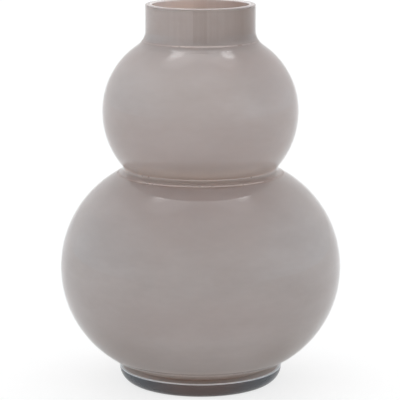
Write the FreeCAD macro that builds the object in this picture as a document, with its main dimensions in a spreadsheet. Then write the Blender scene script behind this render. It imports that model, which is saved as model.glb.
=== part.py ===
import FreeCAD, Part
import os
from math import atan2, cos, pi, sin, sqrt

import Sketcher
from FreeCAD import Vector

# Double gourd vase of cased glass: a thin milky taupe lining inside a clear casing, on a thick glass foot.
# Millimetres. Z is up, the vase turns about Z, and the foot's bearing ring stands on Z = 0.
# The wall is drawn once as a chain of tangent arcs; each layer follows it at its own depth under the outer surface.

SIZES = {
    # mouth and neck
    "neck_radius": 40.2,          # outside of the straight neck
    "neck_length": 18.7,          # straight part, from the fillet to the cut rim
    "neck_fillet": 14.2,          # hollow between the neck and the upper globe, outside
    "rim_round": 0.9,             # polished edges of the cut rim
    # upper globe, outside
    "upper_radius": 72.1,         # at its widest level
    "upper_crown_arc": 58.0,      # above the widest level
    "upper_belly_arc": 62.0,      # below the widest level
    # waist and lower globe, outside
    "globe_spacing": 116.0,       # from the widest level of one globe to that of the other
    "waist_fillet": 2.0,          # sharp crease between the globes
    "lower_radius": 103.6,        # at its widest level
    "lower_crown_arc": 80.1,      # above the widest level
    "bottom_flat": 25.0,          # radius of the flat bottom; the belly arc runs from here to the widest level
    # the two layers of the wall
    "casing_wall": 3.4,           # clear glass
    "lining_wall": 1.4,           # milky taupe glass
    # foot
    "seat_thickness": 7.6,        # glass under the globe's flat bottom
    "seat_rise": 3.9,             # how far the foot's top face stands above that flat
    "foot_ledge": 10.75,          # width of the top face round the globe
    "foot_undercut": 8.6,         # how far the curved side runs in below the ledge
    "foot_rim_round": 0.8,        # edge between the ledge and the side
    "bearing_width": 9.0,         # ground ring that the vase stands on
    "bearing_ease": 0.6,          # broken edges of the ground ring
    "recess_depth": 1.2,          # hollow inside the ground ring
}

doc = FreeCAD.newDocument("double_gourd_vase")
sheet = doc.addObject("Spreadsheet::Sheet", "Sizes")
for row, (alias, value) in enumerate(SIZES.items(), start=1):
    sheet.set(f"A{row}", alias)
    sheet.set(f"B{row}", str(value))
    sheet.setAlias(f"B{row}", alias)
doc.recompute()


def size(alias):
    """Value of one cell of the sheet."""
    return float(sheet.get(alias))


# Sums that several constraints share, as expressions of the sheet's cells
LOWER_BELLY_ARC = "(Sizes.lower_radius - Sizes.bottom_flat)"
LOWER_LEVEL = f"(Sizes.seat_thickness + {LOWER_BELLY_ARC})"
FOOT_HEIGHT = "(Sizes.seat_thickness + Sizes.seat_rise)"

# The same levels as numbers, for the drawn start of each sketch
lower_belly_arc = size("lower_radius") - size("bottom_flat")
lower_level = size("seat_thickness") + lower_belly_arc
upper_level = lower_level + size("globe_spacing")
foot_height = size("seat_thickness") + size("seat_rise")

# Centres of the wall's arcs, shared by all layers
lower_belly = Vector(size("bottom_flat"), lower_level)
lower_crown = Vector(size("lower_radius") - size("lower_crown_arc"), lower_level)
upper_belly = Vector(size("upper_radius") - size("upper_belly_arc"), upper_level)
upper_crown = Vector(size("upper_radius") - size("upper_crown_arc"), upper_level)


def crease_centre(first, first_reach, second, second_reach):
    """Point at the two given distances from two centres, on the side away from the axis."""
    span = second - first
    along = (span.Length ** 2 + first_reach ** 2 - second_reach ** 2) / (2 * span.Length)
    across = sqrt(first_reach ** 2 - along ** 2)
    unit = span / span.Length
    return first + unit * along + Vector(unit.y, -unit.x) * across


waist = crease_centre(
    lower_crown, size("lower_crown_arc") + size("waist_fillet"),
    upper_belly, size("upper_belly_arc") + size("waist_fillet"))
neck_centre_radius = size("neck_radius") + size("neck_fillet")
neck_reach = size("neck_fillet") + size("upper_crown_arc")
neck_rise = sqrt(neck_reach ** 2 - (neck_centre_radius - upper_crown.x) ** 2)
neck = Vector(neck_centre_radius, upper_level + neck_rise)
total_height = neck.y + size("neck_length")


def heading(start, end):
    """Angle of the line from one point to another, between 0 and a full turn."""
    return atan2(end.y - start.y, end.x - start.x) % (2 * pi)


def arc(centre, radius, start_angle, end_angle):
    """Anticlockwise arc of a circle in the sketch plane."""
    return Part.ArcOfCircle(Part.Circle(centre, Vector(0, 0, 1), radius), start_angle, end_angle)


def add_sketch(body, name):
    """Empty sketch on the body's own XZ plane, so that the sketch's Y axis is the vase's axis."""
    sketch = body.newObject("Sketcher::SketchObject", name)
    plane = next(feature for feature in body.Origin.OriginFeatures if feature.Role == "XZ_Plane")
    sketch.AttachmentSupport = [(plane, "")]
    sketch.MapMode = "FlatFace"
    return sketch


# Names of a sketch's fixed points and axes, and of the ends of a line or an arc
ORIGIN_ID, ROOT = -1, 1
X_AXIS_ID, Y_AXIS_ID = -1, -2
START, END, CENTRE = 1, 2, 3


def relate(sketch, kind, *places):
    """Constraint without a size."""
    sketch.addConstraint(Sketcher.Constraint(kind, *places))


def measure(sketch, kind, places, expression):
    """Constraint whose size follows the sheet. It starts at the size that is drawn."""
    number = sketch.addConstraint(Sketcher.Constraint(kind, *places, drawn_size(sketch, kind, places)))
    sketch.setExpression(f"Constraints[{number}]", expression)


def drawn_size(sketch, kind, places):
    """Size of the drawn geometry that a constraint measures."""
    if kind == "Radius":
        return sketch.Geometry[places[0]].Radius
    if kind == "Distance":
        line = sketch.Geometry[places[0]]
        return line.StartPoint.distanceToPoint(line.EndPoint)
    first = sketch.getPoint(places[0], places[1])
    second = sketch.getPoint(places[2], places[3])
    return second.x - first.x if kind == "DistanceX" else second.y - first.y


def draw_wall_side(sketch, depth, depth_expression):
    """One side of a layer, from the axis at the bottom to the rim, at a depth under the outer surface.

    A flat bottom, two tangent arcs for each globe, a hollow arc at the waist, a hollow arc under the neck
    and the straight neck. Returns the numbers of its first and last lines.
    """
    waist_from_lower = heading(lower_crown, waist)
    waist_from_upper = heading(upper_belly, waist)
    neck_from_upper = heading(upper_crown, neck)
    neck_inside = size("neck_radius") - depth
    bottom = size("seat_thickness") + depth

    flat = sketch.addGeometry(Part.LineSegment(Vector(0, bottom), Vector(size("bottom_flat"), bottom)))
    low_belly = sketch.addGeometry(arc(lower_belly, lower_belly_arc - depth, 1.5 * pi, 2 * pi))
    low_crown = sketch.addGeometry(arc(lower_crown, size("lower_crown_arc") - depth, 0, waist_from_lower))
    crease = sketch.addGeometry(arc(
        waist, size("waist_fillet") + depth, heading(waist, upper_belly), heading(waist, lower_crown)))
    up_belly = sketch.addGeometry(arc(upper_belly, size("upper_belly_arc") - depth, waist_from_upper, 2 * pi))
    up_crown = sketch.addGeometry(arc(upper_crown, size("upper_crown_arc") - depth, 0, neck_from_upper))
    hollow = sketch.addGeometry(arc(neck, size("neck_fillet") + depth, pi, heading(neck, upper_crown)))
    straight = sketch.addGeometry(Part.LineSegment(Vector(neck_inside, neck.y), Vector(neck_inside, total_height)))

    relate(sketch, "Horizontal", flat)
    relate(sketch, "PointOnObject", flat, START, Y_AXIS_ID)
    relate(sketch, "Tangent", flat, END, low_belly, START)
    relate(sketch, "Tangent", low_belly, END, low_crown, START)
    relate(sketch, "Tangent", low_crown, END, crease, END)
    relate(sketch, "Tangent", crease, START, up_belly, START)
    relate(sketch, "Tangent", up_belly, END, up_crown, START)
    relate(sketch, "Tangent", up_crown, END, hollow, END)
    relate(sketch, "Tangent", hollow, START, straight, START)
    relate(sketch, "Vertical", straight)
    relate(sketch, "Horizontal", low_belly, CENTRE, low_crown, CENTRE)
    relate(sketch, "Horizontal", up_belly, CENTRE, up_crown, CENTRE)

    measure(sketch, "DistanceX", (ORIGIN_ID, ROOT, low_belly, CENTRE), "Sizes.bottom_flat")
    measure(sketch, "DistanceY", (ORIGIN_ID, ROOT, low_belly, CENTRE), LOWER_LEVEL)
    measure(sketch, "DistanceY", (low_belly, CENTRE, up_belly, CENTRE), "Sizes.globe_spacing")
    measure(sketch, "DistanceX", (ORIGIN_ID, ROOT, up_crown, START), f"Sizes.upper_radius - {depth_expression}")
    measure(sketch, "DistanceX", (ORIGIN_ID, ROOT, straight, START), f"Sizes.neck_radius - {depth_expression}")
    measure(sketch, "Radius", (low_belly,), f"{LOWER_BELLY_ARC} - {depth_expression}")
    measure(sketch, "Radius", (low_crown,), f"Sizes.lower_crown_arc - {depth_expression}")
    measure(sketch, "Radius", (crease,), f"Sizes.waist_fillet + {depth_expression}")
    measure(sketch, "Radius", (up_belly,), f"Sizes.upper_belly_arc - {depth_expression}")
    measure(sketch, "Radius", (up_crown,), f"Sizes.upper_crown_arc - {depth_expression}")
    measure(sketch, "Radius", (hollow,), f"Sizes.neck_fillet + {depth_expression}")
    return flat, straight


def join_ends(sketch, first, first_end, second, second_end):
    """Straight line between two ends that are drawn already."""
    line = sketch.addGeometry(Part.LineSegment(
        sketch.getPoint(first, first_end), sketch.getPoint(second, second_end)))
    relate(sketch, "Coincident", line, START, first, first_end)
    relate(sketch, "Coincident", line, END, second, second_end)
    return line


def revolve(body, sketch):
    """Full turn of a sketch about the vase's axis."""
    turned = body.newObject("PartDesign::Revolution", f"{sketch.Name}_turned")
    turned.Profile = sketch
    turned.ReferenceAxis = (sketch, ["V_Axis"])
    turned.Angle = 360
    sketch.Visibility = False
    doc.recompute()
    return turned


SAME_PLACE = 1e-4    # how near a sought edge lies to the place given for it


def ring_edge(shape, radius, level):
    """Name of the round edge that has this radius at this height."""
    for number, edge in enumerate(shape.Edges, start=1):
        if not isinstance(edge.Curve, Part.Circle):
            continue
        if abs(edge.Curve.Radius - radius) < SAME_PLACE and abs(edge.Curve.Center.z - level) < SAME_PLACE:
            return f"Edge{number}"
    raise ValueError(f"no round edge of radius {radius:.3f} at height {level:.3f}")


def round_edges(body, base, name, places, expression):
    """Rounds the edges given as pairs of radius and height."""
    fillet = body.newObject("PartDesign::Fillet", name)
    fillet.Base = (base, [ring_edge(base.Shape, radius, level) for radius, level in places])
    fillet.setExpression("Radius", expression)
    doc.recompute()
    return fillet


def make_layer(label, outer_depth, outer_expression, inner_depth, inner_expression):
    """One glass layer of the wall between two depths, closed at the bottom and open at the mouth."""
    body = doc.addObject("PartDesign::Body", label)
    body.Label = label
    sketch = add_sketch(body, f"{label}_profile")
    outer_flat, outer_neck = draw_wall_side(sketch, outer_depth, outer_expression)
    inner_flat, inner_neck = draw_wall_side(sketch, inner_depth, inner_expression)
    measure(sketch, "Distance", (outer_neck,), "Sizes.neck_length")
    rim = join_ends(sketch, outer_neck, END, inner_neck, END)
    relate(sketch, "Horizontal", rim)
    join_ends(sketch, inner_flat, START, outer_flat, START)
    return body, revolve(body, sketch)


# Casing: clear glass from the outer surface inwards, with the outer edge of the rim polished round
casing, casing_turned = make_layer("clear_glass_casing", 0, "0", size("casing_wall"), "Sizes.casing_wall")
round_edges(casing, casing_turned, "casing_rim", [(size("neck_radius"), total_height)],
            "min(Sizes.rim_round; 0.8 * Sizes.casing_wall)")

# Lining: milky taupe glass fused to the inside of the casing, with the mouth's inner edge polished round
wall = size("casing_wall") + size("lining_wall")
lining, lining_turned = make_layer(
    "milky_glass_lining", size("casing_wall"), "Sizes.casing_wall",
    wall, "(Sizes.casing_wall + Sizes.lining_wall)")
round_edges(lining, lining_turned, "mouth_edge", [(size("neck_radius") - wall, total_height)],
            "min(Sizes.rim_round; 0.8 * Sizes.lining_wall)")

# Foot: a thick disc whose dish is the globe's own bottom arc. Its side is one curve that starts upright at
# the ledge and runs in to the ground ring, and its underside is slightly hollow.
foot = doc.addObject("PartDesign::Body", "glass_foot")
foot.Label = "glass_foot"
profile = add_sketch(foot, "glass_foot_profile")

contact_radius = size("bottom_flat") + sqrt(lower_belly_arc ** 2 - (lower_belly_arc - size("seat_rise")) ** 2)
foot_radius = contact_radius + size("foot_ledge")
ring_outside = foot_radius - size("foot_undercut")
ring_inside = ring_outside - size("bearing_width")
side_radius = (size("foot_undercut") ** 2 + foot_height ** 2) / (2 * size("foot_undercut"))
side_centre = Vector(foot_radius - side_radius, foot_height)
recess_radius = (ring_inside ** 2 + size("recess_depth") ** 2) / (2 * size("recess_depth"))
recess_centre = Vector(0, size("recess_depth") - recess_radius)

seat_flat = profile.addGeometry(Part.LineSegment(
    Vector(0, size("seat_thickness")), Vector(size("bottom_flat"), size("seat_thickness"))))
contact = Vector(contact_radius, foot_height)
seat_arc = profile.addGeometry(arc(lower_belly, lower_belly_arc, 1.5 * pi, heading(lower_belly, contact)))
ledge = profile.addGeometry(Part.LineSegment(contact, Vector(foot_radius, foot_height)))
side = profile.addGeometry(arc(side_centre, side_radius, heading(side_centre, Vector(ring_outside, 0)), 2 * pi))
bearing = profile.addGeometry(Part.LineSegment(Vector(ring_outside, 0), Vector(ring_inside, 0)))
recess = profile.addGeometry(arc(recess_centre, recess_radius, heading(recess_centre, Vector(ring_inside, 0)), pi / 2))

relate(profile, "Horizontal", seat_flat)
relate(profile, "PointOnObject", seat_flat, START, Y_AXIS_ID)
relate(profile, "Tangent", seat_flat, END, seat_arc, START)
relate(profile, "Coincident", seat_arc, END, ledge, START)
relate(profile, "Horizontal", ledge)
relate(profile, "Coincident", ledge, END, side, END)
relate(profile, "Horizontal", side, CENTRE, ledge, END)
relate(profile, "PointOnObject", side, START, X_AXIS_ID)
relate(profile, "Coincident", side, START, bearing, START)
relate(profile, "PointOnObject", bearing, END, X_AXIS_ID)
relate(profile, "Coincident", bearing, END, recess, START)
relate(profile, "PointOnObject", recess, END, Y_AXIS_ID)
relate(profile, "PointOnObject", recess, CENTRE, Y_AXIS_ID)
join_ends(profile, recess, END, seat_flat, START)
measure(profile, "DistanceX", (ORIGIN_ID, ROOT, seat_arc, CENTRE), "Sizes.bottom_flat")
measure(profile, "DistanceY", (ORIGIN_ID, ROOT, seat_arc, CENTRE), LOWER_LEVEL)
measure(profile, "Radius", (seat_arc,), LOWER_BELLY_ARC)
measure(profile, "DistanceY", (ORIGIN_ID, ROOT, ledge, START), FOOT_HEIGHT)
measure(profile, "Distance", (ledge,), "Sizes.foot_ledge")
measure(profile, "DistanceX", (side, START, ledge, END), "Sizes.foot_undercut")
measure(profile, "Distance", (bearing,), "Sizes.bearing_width")
measure(profile, "DistanceY", (ORIGIN_ID, ROOT, recess, END), "Sizes.recess_depth")
foot_turned = revolve(foot, profile)
foot_rim = round_edges(foot, foot_turned, "foot_rim", [(foot_radius, foot_height)],
                       f"min(Sizes.foot_rim_round; 0.4 * {FOOT_HEIGHT}; 0.8 * Sizes.foot_ledge)")
round_edges(foot, foot_rim, "bearing_edges", [(ring_outside, 0), (ring_inside, 0)],
            "min(Sizes.bearing_ease; 0.3 * Sizes.bearing_width)")

doc.recompute()
for item in doc.Objects:
    if "Invalid" in item.State or "Error" in item.State:
        raise RuntimeError(f"{item.Label} did not compute")
bodies = [lining, casing, foot]
for body in bodies:
    if body.Shape.isNull() or not body.Shape.isValid() or len(body.Shape.Solids) != 1:
        raise RuntimeError(f"{body.Label} is not one valid solid")

os.makedirs("parts", exist_ok=True)
for body in bodies:
    body.Shape.exportStep(f"parts/{body.Label}.step")
    box = body.Shape.BoundBox
    print(f"{body.Label}: {box.XLength:.2f} x {box.YLength:.2f} x {box.ZLength:.2f} mm, "
          f"{body.Shape.Volume / 1000:.1f} cm3")
print(f"height {total_height:.2f}, waist radius {waist.x - size('waist_fillet'):.2f}, foot radius {foot_radius:.2f}, "
      f"neck starts at {neck.y:.2f}, waist level {waist.y:.2f}")
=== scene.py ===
from math import atan2, cos, hypot, pi, radians, sin, sqrt

import bpy
import numpy as np
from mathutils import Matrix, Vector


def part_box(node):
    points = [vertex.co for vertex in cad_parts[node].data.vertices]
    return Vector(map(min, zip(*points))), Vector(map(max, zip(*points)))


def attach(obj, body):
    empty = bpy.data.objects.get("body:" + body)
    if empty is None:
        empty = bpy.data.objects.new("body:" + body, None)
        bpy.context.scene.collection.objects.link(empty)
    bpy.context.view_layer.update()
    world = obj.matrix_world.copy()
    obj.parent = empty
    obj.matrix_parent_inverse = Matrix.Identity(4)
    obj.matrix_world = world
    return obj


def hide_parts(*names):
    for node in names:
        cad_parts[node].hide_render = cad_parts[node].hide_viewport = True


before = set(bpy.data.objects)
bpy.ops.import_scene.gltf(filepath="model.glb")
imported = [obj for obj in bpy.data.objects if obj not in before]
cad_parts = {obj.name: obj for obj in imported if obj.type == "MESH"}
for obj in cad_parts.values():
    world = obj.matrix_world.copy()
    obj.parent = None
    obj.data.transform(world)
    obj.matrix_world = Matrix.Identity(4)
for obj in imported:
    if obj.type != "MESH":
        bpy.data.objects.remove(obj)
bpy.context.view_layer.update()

# Milky lining: the inner bubble of the vase, a thin layer of opaque taupe glass with soft clouds in it.
# It is gathered first, cased in clear glass while hot and blown out with it, so the casing holds it all over.
# Its cut edge shows as the fine pink line round the inside of the mouth.

casing_low, casing_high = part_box("clear_glass_casing")
lining_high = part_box("milky_glass_lining")[1]

MILLIMETRE = 0.001
RIM_LEVEL = casing_high.z
SEAT_LEVEL = casing_low.z
LOWER_RADIUS = casing_high.x
CASING_WALL = casing_high.x - lining_high.x
LINING_WALL = 1.4 * MILLIMETRE
NECK_RADIUS = 40.2 * MILLIMETRE
NECK_FILLET = 14.2 * MILLIMETRE
UPPER_RADIUS = 72.1 * MILLIMETRE
UPPER_CROWN_ARC = 58.0 * MILLIMETRE
UPPER_BELLY_ARC = 62.0 * MILLIMETRE
GLOBE_SPACING = 116.0 * MILLIMETRE
WAIST_FILLET = 2.0 * MILLIMETRE
LOWER_CROWN_ARC = 80.1 * MILLIMETRE
BOTTOM_FLAT = 25.0 * MILLIMETRE
RIM_ROUND = 0.9 * MILLIMETRE
LOWER_BELLY_ARC = LOWER_RADIUS - BOTTOM_FLAT
LOWER_LEVEL = SEAT_LEVEL + LOWER_BELLY_ARC
UPPER_LEVEL = LOWER_LEVEL + GLOBE_SPACING
FUSED_GAP = 0.015 * MILLIMETRE


def arc_points(centre, radius, start, end, steps, crowd=1.0):
    """Circle arc in the half plane of radius and height: centre plus radius times cosine and sine of angle.

    The angle runs from start to end as a power of the step, so a crowd over one packs the points at the
    start.
    """
    angle = start + (end - start) * np.linspace(0, 1, steps) ** crowd
    return np.stack([centre[0] + radius * np.cos(angle), centre[1] + radius * np.sin(angle)], axis=1)


def heading(start, end):
    """Angle of the line from one point of the half plane to another."""
    return atan2(end[1] - start[1], end[0] - start[0])


def crease_centre(first, first_reach, second, second_reach):
    """Crossing of two circles on the side away from the axis.

    It lies so far along the line of centres, and then so far square to it.
    """
    span = hypot(second[0] - first[0], second[1] - first[1])
    along = (span ** 2 + first_reach ** 2 - second_reach ** 2) / (2 * span)
    across = sqrt(first_reach ** 2 - along ** 2)
    unit = ((second[0] - first[0]) / span, (second[1] - first[1]) / span)
    return first[0] + unit[0] * along + unit[1] * across, first[1] + unit[1] * along - unit[0] * across


lower_belly = (BOTTOM_FLAT, LOWER_LEVEL)
lower_crown = (LOWER_RADIUS - LOWER_CROWN_ARC, LOWER_LEVEL)
upper_belly = (UPPER_RADIUS - UPPER_BELLY_ARC, UPPER_LEVEL)
upper_crown = (UPPER_RADIUS - UPPER_CROWN_ARC, UPPER_LEVEL)
waist = crease_centre(lower_crown, LOWER_CROWN_ARC + WAIST_FILLET,
                      upper_belly, UPPER_BELLY_ARC + WAIST_FILLET)
neck_centre_radius = NECK_RADIUS + NECK_FILLET
neck_rise = sqrt((NECK_FILLET + UPPER_CROWN_ARC) ** 2 - (neck_centre_radius - upper_crown[0]) ** 2)
neck = (neck_centre_radius, UPPER_LEVEL + neck_rise)

# points along the two arcs that meet at the waist: more on the outside, for the fine painted highlight lines
# there
WAIST_POINTS_INSIDE, WAIST_POINTS_OUTSIDE = 41, 61


def wall_side(depth, rim_level):
    """One side of the glass wall as points from the axis at the bottom up to the rim.

    A flat bottom, two tangent arcs for each globe with the hollow crease between them, the hollow under
    the neck and the straight neck. The side lies at a depth under the outside, so every arc keeps its
    centre and gives or takes the depth. The last number of each stretch is its count of points.
    """
    bottom = np.linspace((0, SEAT_LEVEL + depth), (BOTTOM_FLAT, SEAT_LEVEL + depth), 7)
    straight = np.linspace((NECK_RADIUS - depth, neck[1]), (NECK_RADIUS - depth, rim_level), 5)
    points = WAIST_POINTS_INSIDE if depth else WAIST_POINTS_OUTSIDE
    stretches = [
        bottom,
        arc_points(lower_belly, LOWER_BELLY_ARC - depth, -pi / 2, 0, 29)[1:],
        arc_points(lower_crown, LOWER_CROWN_ARC - depth, heading(lower_crown, waist), 0, points, 2)[-2::-1],
        arc_points(waist, WAIST_FILLET + depth, heading(waist, lower_crown) % (2 * pi),
                   heading(waist, upper_belly) % (2 * pi), 13)[1:],
        arc_points(upper_belly, UPPER_BELLY_ARC - depth, heading(upper_belly, waist), 0, points, 2)[1:],
        arc_points(upper_crown, UPPER_CROWN_ARC - depth, 0, heading(upper_crown, neck), 25)[1:],
        arc_points(neck, NECK_FILLET + depth, heading(neck, upper_crown) % (2 * pi), pi, 33)[1:],
        straight[1:],
    ]
    return np.concatenate(stretches)


DENT_DEPTH = 0.22 * MILLIMETRE
# the two waves of the unevenness: how many go round, radians of turn for each metre up, and their start
SLOW_WAVE, QUICK_WAVE = (2, 14, 0.8), (3, -23, 2.1)
SLOW_SHARE = 0.65
DENT_FOOT, DENT_TOP, DENT_FADE = 0.02, 0.262, 0.03


def dent(angle, level):
    """Depth of the slight unevenness of blown glass: two waves round the vase that turn with height.

    Each wave is half of one less a cosine, so it runs from nought to one, and glass is only drawn in,
    never out past the true radius. It fades to nothing at the foot and at the mouth.
    """
    slow, quick = [0.5 - 0.5 * np.cos(count * angle + turn * level + start)
                   for count, turn, start in (SLOW_WAVE, QUICK_WAVE)]
    fade = np.clip((level - DENT_FOOT) / DENT_FADE, 0, 1) * np.clip((DENT_TOP - level) / DENT_FADE, 0, 1)
    return DENT_DEPTH * fade * (SLOW_SHARE * slow + (1 - SLOW_SHARE) * quick)


SIDES = 232
SHARP_ANGLE = radians(32)


def turned_piece(name, profile, materials, kinds):
    """Closed surface of a profile carried once round the axis, with one point at each end on the axis.

    Point (angle, step) is (r cos angle, r sin angle, z) with r and z of the profile's step and r less
    the dent. The profile runs anticlockwise from axis to axis, so the faces point outwards. kinds gives
    each profile step's material.
    """
    angle = np.linspace(0, 2 * pi, SIDES, endpoint=False)[:, None]
    radius, level = profile[1:-1, 0][None, :], profile[1:-1, 1][None, :]
    radius = radius - dent(angle, level)
    ring = np.stack([radius * np.cos(angle), radius * np.sin(angle), level + 0 * angle], axis=2)
    poles = np.array([[0, 0, profile[0, 1]], [0, 0, profile[-1, 1]]])
    steps = len(profile) - 2
    column = np.arange(SIDES)[:, None] * steps
    following = np.roll(column, -1, axis=0)
    step = np.arange(steps - 1)[None, :]
    quads = np.stack([column + step, following + step, following + step + 1, column + step + 1], axis=2)
    column, following = column[:, 0], following[:, 0]
    first, last = SIDES * steps, SIDES * steps + 1
    start_fan = np.stack([np.full(SIDES, first), following, column], axis=1)
    end_fan = np.stack([np.full(SIDES, last), column + steps - 1, following + steps - 1], axis=1)
    mesh = bpy.data.meshes.new(name)
    faces = quads.reshape(-1, 4).tolist() + start_fan.tolist() + end_fan.tolist()
    mesh.from_pydata(np.concatenate([ring.reshape(-1, 3), poles]).tolist(), [], faces)
    kind_of_face = np.concatenate([
        np.tile(kinds[1:-1], SIDES), np.full(SIDES, kinds[0]), np.full(SIDES, kinds[-1])])
    for material in materials:
        mesh.materials.append(material)
    mesh.polygons.foreach_set("material_index", kind_of_face.astype(np.int32))
    mesh.shade_smooth()
    mesh.set_sharp_from_angle(angle=SHARP_ANGLE)
    mesh.update()
    piece = bpy.data.objects.new(name, mesh)
    bpy.context.scene.collection.objects.link(piece)
    return piece


def new_material(name):
    """Empty node material and its tree."""
    material = bpy.data.materials.new(name)
    material.use_nodes = True
    material.node_tree.nodes.clear()
    return material, material.node_tree


def add_node(tree, kind, settings=None, **inputs):
    """Node with its settings and inputs. An input that is a socket is linked, any other value is set.

    An input is named in words, or by i and its number.
    """
    node = tree.nodes.new(kind)
    for key, value in (settings or {}).items():
        setattr(node, key, value)
    for key, value in inputs.items():
        numbered = key[0] == "i" and key[1:].isdigit()
        socket = node.inputs[int(key[1:]) if numbered else key.replace("_", " ")]
        if isinstance(value, bpy.types.NodeSocket):
            tree.links.new(value, socket)
        else:
            socket.default_value = value
    return node


def combined(tree, operation, *values, clamp=False):
    """One number worked out from one, two or three others."""
    numbered = {f"i{at}": value for at, value in enumerate(values)}
    settings = {"operation": operation, "use_clamp": clamp}
    return add_node(tree, "ShaderNodeMath", settings, **numbered).outputs[0]


def scaled(tree, value, start, end, low=0.0, high=1.0):
    """The value carried in a straight line from start and end onto low and high, and held beyond them."""
    return add_node(tree, "ShaderNodeMapRange", Value=value, From_Min=start, From_Max=end,
                    To_Min=low, To_Max=high).outputs["Result"]


def eased(tree, value, start, end, low=0.0, high=1.0):
    """Low up to where the value reaches start and high from end on, with a smooth change between them."""
    return add_node(tree, "ShaderNodeMapRange", {"interpolation_type": "SMOOTHSTEP"}, Value=value,
                    From_Min=start, From_Max=end, To_Min=low, To_Max=high).outputs["Result"]


def tinted(tree, first, second, share):
    """Colour between two others."""
    return add_node(tree, "ShaderNodeMix", {"data_type": "RGBA"}, i0=share, i6=first, i7=second).outputs[2]


def on_object(tree):
    """The point's place on the object."""
    return add_node(tree, "ShaderNodeTexCoord").outputs["Object"]


def coordinate(tree, axis):
    """How far the point lies from the object's origin along one axis."""
    return add_node(tree, "ShaderNodeSeparateXYZ", Vector=on_object(tree)).outputs[axis]


CLOUD_TILT = radians(12)


def clouds(tree, size, detail, seed, flatness=1.0):
    """Soft noise between nought and one, with clouds of the given size in metres.

    Flat clouds are so many times lower than wide, and they lean by the tilt.
    """
    place = add_node(tree, "ShaderNodeMapping", Vector=on_object(tree), Scale=(1, 1, flatness),
                     Rotation=(0, CLOUD_TILT if flatness > 1 else 0, 0)).outputs["Vector"]
    return add_node(tree, "ShaderNodeTexNoise", {"noise_dimensions": "4D"}, Vector=place, W=seed,
                    Scale=1 / size, Detail=detail, Roughness=0.55).outputs["Fac"]


def spread(tree, value, low, high):
    """Noise stretched from its usual 0.3 to 0.7 onto low to high."""
    return scaled(tree, value, 0.3, 0.7, low, high)


def up_the_vase(tree, low, high, share=1.0):
    """Nought below one level and the share above another, with a smooth rise between them."""
    return eased(tree, coordinate(tree, "Z"), low, high, 0.0, share)


def to_sides(tree, near, far):
    """Nought within one distance to the sides of the axis and one beyond another, with a smooth rise."""
    return eased(tree, combined(tree, "ABSOLUTE", coordinate(tree, "X")), near, far)


def near_spot(tree, spot, outer, inner, share):
    """The share within one distance of a spot and nought beyond another, with a smooth fall between."""
    apart = add_node(tree, "ShaderNodeVectorMath", {"operation": "DISTANCE"}, i0=on_object(tree), i1=spot)
    return eased(tree, apart.outputs["Value"], outer, inner, 0.0, share)


def ramped(tree, value, stops):
    """The value read through a line of stops, each a position and the grey level there."""
    ramp = add_node(tree, "ShaderNodeValToRGB", Fac=value)
    elements = ramp.color_ramp.elements
    while len(elements) < len(stops):
        elements.new(0.5)
    for element, (position, level) in zip(elements, stops):
        element.position = position
        element.color = (level, level, level, 1)
    return ramp.outputs["Color"]


def share_up(tree, low, high, stops):
    """A share read up the vase through a line of stops between two levels."""
    return ramped(tree, scaled(tree, coordinate(tree, "Z"), low, high), stops)


NECK_LOW, NECK_HIGH = 252.5 * MILLIMETRE, 257.5 * MILLIMETRE
NECK_HALF = 36 * MILLIMETRE
# painted shade and painted reflection across the neck, from -X to +X: a dark band 10 mm wide runs down it,
# and it is darkest to one side
NECK_SHADE_ACROSS = ((0.0, 0.0), (0.22, 0.0), (0.41, 0.12), (0.426, 0.06), (0.43, 0.36), (0.56, 0.42),
               (0.566, 0.2), (0.60, 0.3), (0.70, 0.34), (0.80, 0.5), (0.89, 0.85), (0.95, 0.75), (1.0, 0.5))
STREAK_SIZE = 2.2 * MILLIMETRE
STREAK_FLATNESS = 0.04
STREAK_DEPTH = 0.08


def neck_shade(tree):
    """Share of painted shade and reflection in the neck, read across it, with fine upright streaks drawn out
    of the gather.
    """
    across = scaled(tree, coordinate(tree, "X"), -NECK_HALF, NECK_HALF)
    upright = add_node(tree, "ShaderNodeMapping", Vector=on_object(tree),
                       Scale=(1, 1, STREAK_FLATNESS)).outputs["Vector"]
    streak = add_node(tree, "ShaderNodeTexNoise", Vector=upright, Scale=1 / STREAK_SIZE, Detail=2.0)
    streak = spread(tree, streak.outputs["Fac"], -STREAK_DEPTH, STREAK_DEPTH)
    depth = combined(tree, "ADD", ramped(tree, across, NECK_SHADE_ACROSS), streak, clamp=True)
    return combined(tree, "MULTIPLY", depth, up_the_vase(tree, NECK_LOW, NECK_HIGH))


GLASS_IOR = 1.5
BARE_ROUGHNESS = 0.06
UPPER_PALE = (0.90, 0.835, 0.82, 1)
UPPER_DEEP = (0.785, 0.71, 0.685, 1)
LOWER_PALE = (0.85, 0.79, 0.775, 1)
LOWER_DEEP = (0.73, 0.665, 0.645, 1)
# colour of the painted light on the left shoulder
MILK_PAINTED_LIGHT = (0.98, 0.93, 0.92, 1)
# colour of the painted shade in the milk
MILK_PAINTED_SHADE = (0.72, 0.61, 0.585, 1)
# colour of the painted shade low on the lower globe
MILK_BOTTOM_SHADE = (0.56, 0.47, 0.43, 1)
# colour of the painted shade and reflection in the neck
NECK_SHADE_COLOUR = (0.52, 0.42, 0.38, 1)
# colour of the painted light in the crease, at the seat and at the back of the neck
WARM_PAINTED_LIGHT = (0.96, 0.85, 0.78, 1)
GLOW = (0.75, 0.60, 0.52, 1)
# glow colour where that light is painted
PAINTED_LIGHT_GLOW = (0.98, 0.82, 0.73, 1)
GLOW_SHARE = 0.34
# the milk is clearer towards the mouth, and a little light passes clean through it between these levels
CLEAN_TINT = (0.72, 0.62, 0.56, 1)
CLEAN_SHARE = 0.12
CLEAN_LOW, CLEAN_HIGH = 235 * MILLIMETRE, 262 * MILLIMETRE
CLOUD_SIZE = 46 * MILLIMETRE
WISP_SIZE = 7 * MILLIMETRE
CLOUD_FLATNESS = 2.4
# between these levels the lower globe's colours give way to the upper one's
CHANGE_LOW, CHANGE_HIGH = 130 * MILLIMETRE, 185 * MILLIMETRE
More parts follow.
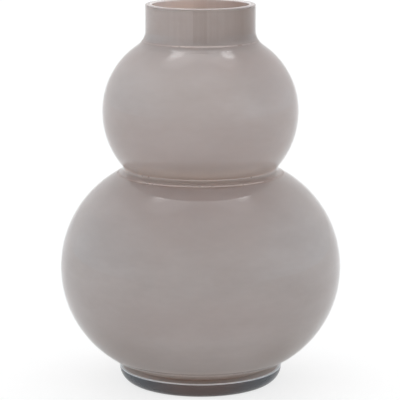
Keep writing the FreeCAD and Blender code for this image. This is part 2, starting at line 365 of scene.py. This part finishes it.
# soft spots: painted shade on the right shoulder, painted light on the left shoulder and on the inside back
# of the neck; for each the middle, how far out each ends, how far out it is full, and its share
PAINTED_SHADE_SPOT = ((0.058, -0.030, 0.236), 46 * MILLIMETRE, 12 * MILLIMETRE, 0.4)
PAINTED_LIGHT_SPOT = ((-0.022, -0.052, 0.237), 46 * MILLIMETRE, 12 * MILLIMETRE, 0.3)
PAINTED_LIGHT_NECK_BACK = ((-0.014, 0.034, 0.276), 24 * MILLIMETRE, 4 * MILLIMETRE, 0.6)
# painted shade up the vase, where less light falls: darker milk under the lower globe's widest level, on its
# shoulder below the waist, under the upper globe's widest level, and on its shoulder below the neck
SHADED_LOW, SHADED_HIGH = 50 * MILLIMETRE, 260 * MILLIMETRE
SHADED_SHARES = ((0.0, 0.0), (0.038, 0.25), (0.122, 0.25), (0.19, 0.0), (0.213, 0.0), (0.305, 0.15),
                 (0.404, 0.4), (0.465, 0.75), (0.495, 0.75), (0.518, 0.0), (0.571, 0.0), (0.61, 0.4),
                 (0.709, 0.3), (0.762, 0.0), (0.86, 0.0), (0.9, 0.3), (0.935, 0.4), (0.95, 0.1),
                 (0.96, 0.0), (1.0, 0.0))
# how much of that painted shade is lost towards both sides, and from where to where
SHADED_LOSS = 0.7
SHADED_NEAR, SHADED_FAR = 25 * MILLIMETRE, 85 * MILLIMETRE
# painted shade up the bottom of the lower globe, where the foot and floor shade it, and how much more towards
# both sides
BOTTOM_LOW, BOTTOM_HIGH = 10 * MILLIMETRE, 60 * MILLIMETRE
BOTTOM_SHADE_SHARES = ((0.0, 0.0), (0.12, 0.0), (0.19, 0.35), (0.26, 0.55), (0.34, 0.45), (0.42, 0.25),
                 (0.55, 0.12), (0.75, 0.05), (1.0, 0.0))
FLANK_SHADE_SHARES = ((0.0, 0.3), (0.08, 0.45), (0.26, 0.6), (0.38, 0.5), (0.5, 0.42), (0.7, 0.3), (0.9, 0.12),
                (1.0, 0.0))
FLANK_NEAR, FLANK_FAR = 22 * MILLIMETRE, 60 * MILLIMETRE
# how much painted light, as warmer, paler milk, lies between those levels, where the globe sits in the foot
# and shade falls
SEAT_LIGHT_SHARES = ((0.0, 1.0), (0.1, 0.9), (0.23, 0.4), (0.33, 0.0), (1.0, 0.0))
# how much painted light, as warmer, paler milk, lies up the pinched waist, where shade falls between the
# globes
CREASE_LOW, CREASE_HIGH = 146 * MILLIMETRE, 180 * MILLIMETRE
CREASE_LIGHT_SHARES = ((0.0, 0.0), (0.20, 0.1), (0.30, 0.45), (0.36, 0.9), (0.46, 1.0), (0.55, 0.6),
                 (0.72, 0.15), (1.0, 0.0))


def milk_material(name, gloss):
    """Milky taupe glass: light scatters back from it, glows through in brown, and a little passes clean.
    Painted shade and painted light are laid into its colour by height and across the vase.

    gloss is for the bare inside, which has a surface of its own; the fused outside has none.
    """
    material, tree = new_material(name)
    cloud = clouds(tree, CLOUD_SIZE, detail=3, seed=1.7, flatness=CLOUD_FLATNESS)
    wisp = clouds(tree, WISP_SIZE, detail=2, seed=5.1, flatness=CLOUD_FLATNESS)
    cloud, wisp = spread(tree, cloud, -0.05, 0.75), spread(tree, wisp, 0, 0.3)
    share = combined(tree, "ADD", cloud, wisp, clamp=True)
    colour = tinted(tree, tinted(tree, LOWER_DEEP, LOWER_PALE, share),
                    tinted(tree, UPPER_DEEP, UPPER_PALE, share), up_the_vase(tree, CHANGE_LOW, CHANGE_HIGH))
    # painted shade: deeper milk colour in bands up the vase, weaker towards both sides
    kept = combined(tree, "MULTIPLY_ADD", to_sides(tree, SHADED_NEAR, SHADED_FAR), -SHADED_LOSS, 1.0)
    shaded = combined(tree, "MULTIPLY", kept, share_up(tree, SHADED_LOW, SHADED_HIGH, SHADED_SHARES))
    colour = tinted(tree, colour, MILK_PAINTED_SHADE, shaded)
    # painted shade on the right shoulder and painted light on the left shoulder
    colour = tinted(tree, colour, MILK_PAINTED_SHADE, near_spot(tree, *PAINTED_SHADE_SPOT))
    colour = tinted(tree, colour, MILK_PAINTED_LIGHT, near_spot(tree, *PAINTED_LIGHT_SPOT))
    # painted shade: darker milk low on the lower globe, more of it towards both sides
    bottom = share_up(tree, BOTTOM_LOW, BOTTOM_HIGH, BOTTOM_SHADE_SHARES)
    flank = share_up(tree, BOTTOM_LOW, BOTTOM_HIGH, FLANK_SHADE_SHARES)
    bottom = combined(tree, "MULTIPLY_ADD", flank, to_sides(tree, FLANK_NEAR, FLANK_FAR), bottom, clamp=True)
    colour = tinted(tree, colour, MILK_BOTTOM_SHADE, bottom)
    # painted light: warmer, paler milk in the waist's crease and where the globe sits in the foot
    crease = share_up(tree, CREASE_LOW, CREASE_HIGH, CREASE_LIGHT_SHARES)
    seat = share_up(tree, BOTTOM_LOW, BOTTOM_HIGH, SEAT_LIGHT_SHARES)
    painted_light_share = combined(tree, "MAXIMUM", crease, seat)
    colour = tinted(tree, colour, WARM_PAINTED_LIGHT, painted_light_share)
    # painted shade and reflection down the neck
    colour = tinted(tree, colour, NECK_SHADE_COLOUR, neck_shade(tree))
    # painted light: warmer, paler milk on the inside back of the neck
    colour = tinted(tree, colour, WARM_PAINTED_LIGHT, near_spot(tree, *PAINTED_LIGHT_NECK_BACK))
    if gloss:
        body = add_node(tree, "ShaderNodeBsdfPrincipled", Base_Color=colour, Roughness=BARE_ROUGHNESS,
                        IOR=GLASS_IOR)
    else:
        body = add_node(tree, "ShaderNodeBsdfDiffuse", Color=colour)
    through = add_node(tree, "ShaderNodeBsdfTranslucent", Color=tinted(tree, GLOW, PAINTED_LIGHT_GLOW, painted_light_share))
    milk = add_node(tree, "ShaderNodeMixShader", i0=GLOW_SHARE, i1=body.outputs[0], i2=through.outputs[0])
    clean = add_node(tree, "ShaderNodeBsdfTransparent", Color=CLEAN_TINT)
    see_through = up_the_vase(tree, CLEAN_LOW, CLEAN_HIGH, CLEAN_SHARE)
    surface = add_node(tree, "ShaderNodeMixShader", i0=see_through, i1=milk.outputs[0], i2=clean.outputs[0])
    add_node(tree, "ShaderNodeOutputMaterial", Surface=surface.outputs[0])
    return material


CUT_MILK_DEEP, CUT_MILK_PALE = (0.72, 0.65, 0.63, 1), (0.80, 0.73, 0.71, 1)
CUT_MILK_GRAIN = 3 * MILLIMETRE


def cut_edge_material():
    """The ground and polished edge of the milky layer, pale pink where light comes up through the wall."""
    material, tree = new_material("cut_milky_edge")
    grain = spread(tree, clouds(tree, CUT_MILK_GRAIN, detail=2, seed=8.2), 0, 1)
    edge = add_node(tree, "ShaderNodeBsdfPrincipled", Roughness=0.25, IOR=GLASS_IOR,
                    Base_Color=tinted(tree, CUT_MILK_DEEP, CUT_MILK_PALE, grain))
    add_node(tree, "ShaderNodeOutputMaterial", Surface=edge.outputs[0])
    return material


# the lining's kinds of surface: fused to the casing, bare inside, and the cut edge between them
wall_depth = CASING_WALL + LINING_WALL
lining_outside = wall_side(CASING_WALL + FUSED_GAP, RIM_LEVEL)
mouth_round = arc_points((NECK_RADIUS - wall_depth + RIM_ROUND, RIM_LEVEL - RIM_ROUND), RIM_ROUND,
                         pi / 2, pi, 7)
lining_inside = wall_side(wall_depth, RIM_LEVEL - RIM_ROUND)[::-1]
lining_profile = np.concatenate([lining_outside, mouth_round, lining_inside[1:]])
lining_step = np.arange(len(lining_profile) - 1)
lining_kinds = np.select([lining_step < len(lining_outside) - 1,
                          lining_step < len(lining_outside) + len(mouth_round) - 1], [0, 2], 1)

lining = turned_piece("milky_lining", lining_profile,
                      [milk_material("fused_milky_glass", False), milk_material("bare_milky_glass", True),
                       cut_edge_material()], lining_kinds)
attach(lining, "root")
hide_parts("milky_glass_lining")

# Clear casing: the outer layer of the wall, thick clear glass that gives the vase its depth and its shine.
# It is fused to the lining all over, so only its outside and the cut rim are surfaces that light meets.

CLEAR_COLOUR = (0.985, 0.985, 0.98, 1)
RIPPLE_SIZE = 30 * MILLIMETRE
RIPPLE_STRENGTH = 0.02
BUMP_HEIGHT = 1.0 * MILLIMETRE
CLEAR_TINT, CLEAR_DENSITY = (0.2, 0.55, 0.72, 1), 6.0


def clear_material():
    """Fire-polished clear glass with the faintest ripple of blown glass."""
    material, tree = new_material("clear_glass_surface")
    bump = add_node(tree, "ShaderNodeBump", Height=clouds(tree, RIPPLE_SIZE, detail=1, seed=9.3),
                    Strength=RIPPLE_STRENGTH, Distance=BUMP_HEIGHT)
    glass = add_node(tree, "ShaderNodeBsdfPrincipled", Base_Color=CLEAR_COLOUR, Roughness=0.0,
                     IOR=GLASS_IOR, Transmission_Weight=1.0, Normal=bump.outputs[0])
    tint = add_node(tree, "ShaderNodeVolumeAbsorption", Color=CLEAR_TINT, Density=CLEAR_DENSITY)
    add_node(tree, "ShaderNodeOutputMaterial", Surface=glass.outputs[0], Volume=tint.outputs[0])
    return material


def fused_material():
    """Where glass is fused to glass of the same kind, light goes straight on."""
    material, tree = new_material("fused_clear_glass")
    clear = add_node(tree, "ShaderNodeBsdfTransparent")
    add_node(tree, "ShaderNodeOutputMaterial", Surface=clear.outputs[0])
    return material


CUT_CLEAR_DEEP, CUT_CLEAR_PALE = (0.50, 0.44, 0.42, 1), (0.58, 0.52, 0.50, 1)
CUT_CLEAR_GRAIN = 2 * MILLIMETRE


def cut_rim_material():
    """The cut and polished top of the clear layer, a little greyer than the blown surface."""
    material, tree = new_material("cut_clear_rim")
    grain = spread(tree, clouds(tree, CUT_CLEAR_GRAIN, detail=2, seed=4.4), 0, 1)
    rim = add_node(tree, "ShaderNodeBsdfPrincipled", Roughness=0.12, IOR=GLASS_IOR, Transmission_Weight=0.5,
                   Base_Color=tinted(tree, CUT_CLEAR_DEEP, CUT_CLEAR_PALE, grain))
    add_node(tree, "ShaderNodeOutputMaterial", Surface=rim.outputs[0])
    return material


# painted highlight lines on the casing, in millimetres: level, half height and how far they reach to each
# side
HIGHLIGHT_LINES = np.array([(157.0, 0.2, 52), (160.6, 0.35, 100), (254.2, 0.4, 28)]) * MILLIMETRE
HIGHLIGHT_LINE_COLOUR = (0.80, 0.69, 0.65, 1)
HIGHLIGHT_LINE_GRAIN = 4 * MILLIMETRE
HIGHLIGHT_LINE_CLEARNESS = 0.5
HIGHLIGHT_LINE_FADE = 12 * MILLIMETRE


def painted_highlight_line_material(end):
    """A fine pale line painted on the glass as a highlight, clear past its ends."""
    material, tree = new_material("painted_highlight_line")
    grain = spread(tree, clouds(tree, HIGHLIGHT_LINE_GRAIN, detail=2, seed=6.6), 0.2, 0.5)
    clear = scaled(tree, to_sides(tree, end - HIGHLIGHT_LINE_FADE, end), 0, 1, HIGHLIGHT_LINE_CLEARNESS, 1.0)
    # painted highlight: a pale, partly clear line on the casing
    painted_line = add_node(tree, "ShaderNodeBsdfPrincipled", Base_Color=HIGHLIGHT_LINE_COLOUR, Roughness=grain,
                         IOR=GLASS_IOR, Transmission_Weight=clear)
    add_node(tree, "ShaderNodeOutputMaterial", Surface=painted_line.outputs[0])
    return material


# the casing's kinds of surface: open glass, fused glass, the cut rim and the three painted highlight lines
SEAT_RISE = 3.9 * MILLIMETRE
foot_height = SEAT_LEVEL + SEAT_RISE
casing_outside = wall_side(0, RIM_LEVEL - RIM_ROUND)
rim_round = arc_points((NECK_RADIUS - RIM_ROUND, RIM_LEVEL - RIM_ROUND), RIM_ROUND, 0, pi / 2, 7)
casing_inside = wall_side(CASING_WALL, RIM_LEVEL)[::-1]
casing_profile = np.concatenate([casing_outside, rim_round[1:], casing_inside])
outside_steps = len(casing_outside) + len(rim_round) - 1
casing_step = np.arange(len(casing_profile) - 1)
step_level = (casing_profile[:-1, 1] + casing_profile[1:, 1]) / 2
is_cut = (casing_step < outside_steps + 1) & (step_level > RIM_LEVEL - RIM_ROUND)
is_open = (casing_step < outside_steps) & (step_level > foot_height)
is_line = is_open[:, None] & (np.abs(step_level[:, None] - HIGHLIGHT_LINES[:, 0]) < HIGHLIGHT_LINES[:, 1])
casing_kinds = np.select([is_cut, *is_line.T, is_open], [2, 3, 4, 5, 0], 1)

fused_glass = fused_material()
highlight_lines = [painted_highlight_line_material(end) for end in HIGHLIGHT_LINES[:, 2].tolist()]
casing = turned_piece("clear_casing", casing_profile,
                      [clear_material(), fused_glass, cut_rim_material(), *highlight_lines], casing_kinds)
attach(casing, "root")
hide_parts("clear_glass_casing")

# Foot: a thick disc of smoky glass, pressed under the globe while hot, with its curved side running in to
# a ground ring. The globe's bottom is fused into the dish in its top.

FOOT_LEDGE = 10.75 * MILLIMETRE
FOOT_UNDERCUT = 8.6 * MILLIMETRE
FOOT_RIM_ROUND = 0.8 * MILLIMETRE
BEARING_WIDTH = 9.0 * MILLIMETRE
BEARING_EASE = 0.6 * MILLIMETRE
RECESS_DEPTH = 1.2 * MILLIMETRE
# how far in from the brink of the foot its ledge carries the painted highlight
BRINK_HIGHLIGHT_REACH = 2.3 * MILLIMETRE

contact_radius = BOTTOM_FLAT + sqrt(LOWER_BELLY_ARC ** 2 - (LOWER_BELLY_ARC - SEAT_RISE) ** 2)
foot_radius = contact_radius + FOOT_LEDGE
ring_outside = foot_radius - FOOT_UNDERCUT
ring_inside = ring_outside - BEARING_WIDTH
side_radius = (FOOT_UNDERCUT ** 2 + foot_height ** 2) / (2 * FOOT_UNDERCUT)
side_centre = (foot_radius - side_radius, foot_height)
recess_radius = (ring_inside ** 2 + RECESS_DEPTH ** 2) / (2 * RECESS_DEPTH)
recess_centre = (0, RECESS_DEPTH - recess_radius)


def rounded(points, corner, radius, steps):
    """The chain of points with one of its corners replaced by an arc tangent to the lines on both sides.

    The arc's centre lies on the corner's bisector, the radius over the sine of the half angle away, and
    its points swing evenly from one tangent point to the other.
    """
    before, tip, after = points[corner - 1], points[corner], points[corner + 1]
    back = (before - tip) / np.linalg.norm(before - tip)
    on = (after - tip) / np.linalg.norm(after - tip)
    half = np.arccos(np.clip(back @ on, -1, 1)) / 2
    centre = tip + (back + on) / np.linalg.norm(back + on) * radius / sin(half)
    start, end = tip + back * radius / np.tan(half), tip + on * radius / np.tan(half)
    turn = np.linspace(0, 1, steps)[:, None]
    whole = pi - 2 * half
    swing = (start - centre) * np.sin((1 - turn) * whole) + (end - centre) * np.sin(turn * whole)
    return np.concatenate([points[:corner], centre + swing / sin(whole), points[corner + 1:]])


recess = arc_points(recess_centre, recess_radius, pi / 2, heading(recess_centre, (ring_inside, 0)), 13)
bearing = np.linspace((ring_inside, 0), (ring_outside, 0), 5)
side = arc_points(side_centre, side_radius, heading(side_centre, (ring_outside, 0)), 0, 9)
ledge = np.linspace((foot_radius - BRINK_HIGHLIGHT_REACH, foot_height), (contact_radius, foot_height), 4)
seat = arc_points(lower_belly, LOWER_BELLY_ARC, heading(lower_belly, (contact_radius, foot_height)),
                  -pi / 2, 13)
seat = seat - [0, FUSED_GAP]
seat_flat = np.linspace((BOTTOM_FLAT, SEAT_LEVEL - FUSED_GAP), (0, SEAT_LEVEL - FUSED_GAP), 5)
ring_inner_corner = len(recess) - 1
ring_outer_corner = ring_inner_corner + len(bearing) - 1
rim_corner = ring_outer_corner + len(side) - 1
foot_profile = np.concatenate([recess, bearing[1:], side[1:], ledge, seat, seat_flat[1:]])
foot_profile = rounded(foot_profile, rim_corner, FOOT_RIM_ROUND, 7)
foot_profile = rounded(foot_profile, ring_outer_corner, BEARING_EASE, 4)
foot_profile = rounded(foot_profile, ring_inner_corner, BEARING_EASE, 4)

# the foot's kinds of surface: the side and hollow, the fused dish, the ground ring, the bright brink and
# the ledge, told apart to within a hair by where the middle of each step lies
HAIR = 0.05 * MILLIMETRE
BRINK_DROP = 0.6 * FOOT_RIM_ROUND
middle = (foot_profile[:-1] + foot_profile[1:]) / 2
in_dish = np.arange(len(middle)) > np.argmin(np.hypot(*(foot_profile - [contact_radius, foot_height]).T))
on_ground = middle[:, 1] < HAIR
on_brink = (middle[:, 0] > foot_radius - BRINK_HIGHLIGHT_REACH) & (middle[:, 1] > foot_height - BRINK_DROP)
on_ledge = middle[:, 1] > foot_height - HAIR
foot_kinds = np.select([in_dish, on_ground, on_brink, on_ledge], [1, 2, 3, 4], 0)

# painted reflection in the foot's side: dark and warm from the globe's shaded bottom, cooler towards both
# sides
SIDE_COLOUR, SIDE_FLANK = (0.19, 0.135, 0.125, 1), (0.12, 0.135, 0.155, 1)
GROUND_COLOUR = (0.5, 0.48, 0.47, 1)
# painted highlight along the foot's brink, cooler towards both sides
BRINK_HIGHLIGHT, BRINK_HIGHLIGHT_FLANK = (1.0, 0.98, 0.98, 1), (0.93, 0.97, 1.0, 1)
# painted reflection of the globe on the ledge by the seat, dimming to painted shade at the brink, paler
# towards both sides
LEDGE_COLOUR, LEDGE_OUT = (0.78, 0.68, 0.63, 1), (0.36, 0.33, 0.32, 1)
LEDGE_FLANK = (0.78, 0.74, 0.72, 1)
FOOT_NEAR, FOOT_FAR = 8 * MILLIMETRE, 50 * MILLIMETRE
FOOT_GRAIN = 12 * MILLIMETRE
FOOT_GRAIN_STRENGTH = 0.05
SMOKE_COLOUR, SMOKE_DENSITY = (0.5, 0.46, 0.44, 1), 20.0


def smoky_material(name, colour, clearness, roughness, outwards=None, flank=None):
    """Smoky glass, grey by the depth that light travels in it.

    The outwards colour takes over from the globe out to the foot's brink, the flank colour towards both
    sides. These colours paint reflection, highlight and shade into the foot.
    """
    material, tree = new_material(name)
    if outwards:
        flat = add_node(tree, "ShaderNodeVectorMath", {"operation": "MULTIPLY"}, i0=on_object(tree),
                        i1=(1, 1, 0)).outputs[0]
        reach = add_node(tree, "ShaderNodeVectorMath", {"operation": "LENGTH"}, i0=flat).outputs["Value"]
        colour = tinted(tree, colour, outwards, scaled(tree, reach, contact_radius, foot_radius))
    if flank:
        colour = tinted(tree, colour, flank, to_sides(tree, FOOT_NEAR, FOOT_FAR))
    bump = add_node(tree, "ShaderNodeBump", Height=clouds(tree, FOOT_GRAIN, detail=2, seed=3.9),
                    Strength=FOOT_GRAIN_STRENGTH, Distance=BUMP_HEIGHT)
    glass = add_node(tree, "ShaderNodeBsdfPrincipled", Base_Color=colour, Roughness=roughness,
                     IOR=GLASS_IOR, Transmission_Weight=clearness, Normal=bump.outputs[0])
    smoke = add_node(tree, "ShaderNodeVolumeAbsorption", Color=SMOKE_COLOUR, Density=SMOKE_DENSITY)
    add_node(tree, "ShaderNodeOutputMaterial", Surface=glass.outputs[0], Volume=smoke.outputs[0])
    return material


foot = turned_piece("smoky_foot", foot_profile, [
    smoky_material("smoky_glass", SIDE_COLOUR, clearness=0.35, roughness=0.12, flank=SIDE_FLANK),
    fused_glass,
    smoky_material("ground_smoky_glass", GROUND_COLOUR, clearness=0.5, roughness=0.4),
    smoky_material("arris_painted_highlight", BRINK_HIGHLIGHT, clearness=0.1, roughness=0.3, flank=BRINK_HIGHLIGHT_FLANK),
    smoky_material("smoky_ledge", LEDGE_COLOUR, clearness=0.1, roughness=0.25, outwards=LEDGE_OUT,
                   flank=LEDGE_FLANK),
], foot_kinds)
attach(foot, "root")
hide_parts("glass_foot")

# Stage: a wide pale table top, a white tent of soft light all round, and the camera at the photograph's
# place.

FLOOR_RADIUS = 8.0
FLOOR_LEVEL = -0.1 * MILLIMETRE
FLOOR_SIDES = 96
FLOOR_COLOUR = (0.80, 0.80, 0.80, 1)
WHITE = (1, 1, 1, 1)
# the camera sees a white floor with this much shading from the object in it, and glass shows a mean
# between that and the plain lit floor
FLOOR_SHADOW = 0.25
FLOOR_IN_GLASS = 0.5

floor_angle = np.linspace(0, 2 * pi, FLOOR_SIDES, endpoint=False)
floor_points = np.stack([FLOOR_RADIUS * np.cos(floor_angle), FLOOR_RADIUS * np.sin(floor_angle),
                         FLOOR_LEVEL + 0 * floor_angle], axis=1)
floor_mesh = bpy.data.meshes.new("floor")
floor_mesh.from_pydata(floor_points.tolist(), [], [list(range(FLOOR_SIDES))])
floor = bpy.data.objects.new("floor", floor_mesh)
bpy.context.scene.collection.objects.link(floor)
floor_material, tree = new_material("pale_floor")
paper = add_node(tree, "ShaderNodeBsdfDiffuse", Color=FLOOR_COLOUR)
white = add_node(tree, "ShaderNodeEmission", Color=WHITE, Strength=1.0)
shaded = add_node(tree, "ShaderNodeBsdfDiffuse", Color=WHITE)
seen = add_node(tree, "ShaderNodeMixShader", i0=FLOOR_SHADOW, i1=white.outputs[0], i2=shaded.outputs[0])
path = add_node(tree, "ShaderNodeLightPath").outputs
in_glass = combined(tree, "ADD", path["Is Glossy Ray"], path["Is Transmission Ray"], clamp=True)
looked_at = combined(tree, "MULTIPLY_ADD", in_glass, FLOOR_IN_GLASS, path["Is Camera Ray"], clamp=True)
choice = add_node(tree, "ShaderNodeMixShader", i0=looked_at, i1=paper.outputs[0], i2=seen.outputs[0])
add_node(tree, "ShaderNodeOutputMaterial", Surface=choice.outputs[0])
floor_mesh.materials.append(floor_material)

TENT_LEVEL = 0.9
# soft lights on the tent: degrees round from the camera's side, degrees up, degrees from the middle to
# where each is still full and to where it ends, and strength
TENT_LIGHTS = ((-133, 67, 1, 7, 2.6), (-118, 66, 1, 6, 1.2), (133, 64, 1, 7, 2.9), (122, 66, 1, 6, 1.4),
               (-103, 71, 2, 17, 1.0), (107, 70, 2, 16, 0.8), (180, 75, 6, 24, 0.9))
# the tent is brighter and cooler towards both sides
SIDE_LIGHT = 0.4
SIDE_COLOUR_OF_TENT = (0.82, 0.93, 1, 1)
SIDE_FROM = 0.45


def seen_way(tree):
    """The way in which the tent is seen from the object."""
    return add_node(tree, "ShaderNodeTexCoord").outputs["Generated"]


def soft_light(tree, azimuth, height, inner, outer, strength):
    """Round soft light on the tent, full within one angle of its middle and fading to nothing at another.

    It is read from the cosine of the angle, the dot product of the way to the light and the way seen.
    """
    aim = (sin(radians(azimuth)) * cos(radians(height)), -cos(radians(azimuth)) * cos(radians(height)),
           sin(radians(height)))
    along = add_node(tree, "ShaderNodeVectorMath", {"operation": "DOT_PRODUCT"}, i0=seen_way(tree), i1=aim)
    return eased(tree, along.outputs["Value"], cos(radians(outer)), cos(radians(inner)), 0.0, strength)


world = bpy.data.worlds.new("white_tent")
bpy.context.scene.world = world
world.use_nodes = True
tree = world.node_tree
tree.nodes.clear()
sideways = add_node(tree, "ShaderNodeSeparateXYZ", Vector=seen_way(tree)).outputs["X"]
side_share = eased(tree, combined(tree, "ABSOLUTE", sideways), SIDE_FROM, 1.0)
level = combined(tree, "MULTIPLY_ADD", side_share, SIDE_LIGHT, TENT_LEVEL)
for light in TENT_LIGHTS:
    level = combined(tree, "ADD", level, soft_light(tree, *light))
tent = add_node(tree, "ShaderNodeBackground", Strength=level,
                Color=tinted(tree, WHITE, SIDE_COLOUR_OF_TENT, side_share))
add_node(tree, "ShaderNodeOutputWorld", Surface=tent.outputs[0])

CAMERA_PLACE = (-0.00036, -1.5932, 0.4411)
CAMERA_TILT = radians(10.85)
camera_data = bpy.data.cameras.new("camera")
camera_data.sensor_width = 36.0
camera_data.lens = 197.8
camera = bpy.data.objects.new("camera", camera_data)
camera.location = CAMERA_PLACE
camera.rotation_euler = (pi / 2 - CAMERA_TILT, 0, 0)
bpy.context.scene.collection.objects.link(camera)
bpy.context.scene.camera = camera

scene = bpy.context.scene
scene.view_settings.view_transform = "Standard"
scene.cycles.max_bounces = 24
scene.cycles.diffuse_bounces = 8
scene.cycles.glossy_bounces = 12
scene.cycles.transmission_bounces = 16
scene.cycles.transparent_max_bounces = 32
scene.cycles.blur_glossy = 0.0
